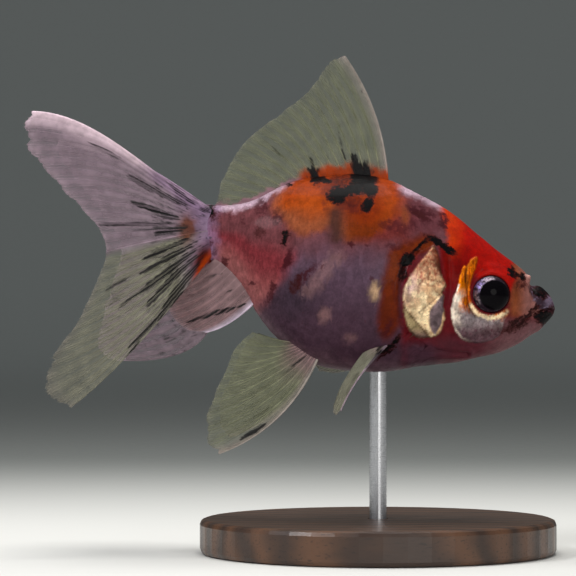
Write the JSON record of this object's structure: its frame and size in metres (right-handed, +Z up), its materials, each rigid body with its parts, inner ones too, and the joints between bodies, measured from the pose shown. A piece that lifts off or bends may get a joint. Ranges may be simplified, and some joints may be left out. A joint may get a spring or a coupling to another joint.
{
  "type": "fancy goldfish model on display stand",
  "caption": "Still, life-size fantail goldfish with spread fins and a double tail, held level by a rod on a round wooden base.",
  "frame": {"origin": "centre of the stand's flat underside", "axes": "+X to the snout, +Y to the fish's left side, +Z up"},
  "size_m": [0.0927, 0.062, 0.0865],
  "materials": {
    "skin": "wet-looking skin, orange-red head and back over mauve, with black flecks",
    "gill_plate": "crinkled gold and bronze sheen",
    "fin": "translucent grey-white membrane with fine rays and black streaks",
    "eye": "clear gloss over a black pupil and silver-grey iris",
    "base_wood": "dark satin-lacquered turned wood",
    "rod_steel": "brushed steel"
  },
  "bodies": {
    "root": {"head": "skin", "lower_jaw": "skin", "trunk": "skin", "tail_stem": "skin", "gill_cover_right": "gill_plate", "gill_cover_left": "gill_plate", "eye_right": "eye", "eye_left": "eye", "dorsal_fin": "fin", "caudal_fin_right_upper": "fin", "caudal_fin_right_lower": "fin", "caudal_fin_left_upper": "fin", "caudal_fin_left_lower": "fin", "anal_fin_right": "fin", "anal_fin_left": "fin", "pelvic_fin_right": "fin", "pelvic_fin_left": "fin", "pectoral_fin_right": "fin", "pectoral_fin_left": "fin", "stand_base": "base_wood", "stand_rod": "rod_steel"}
  },
  "joints": []
}
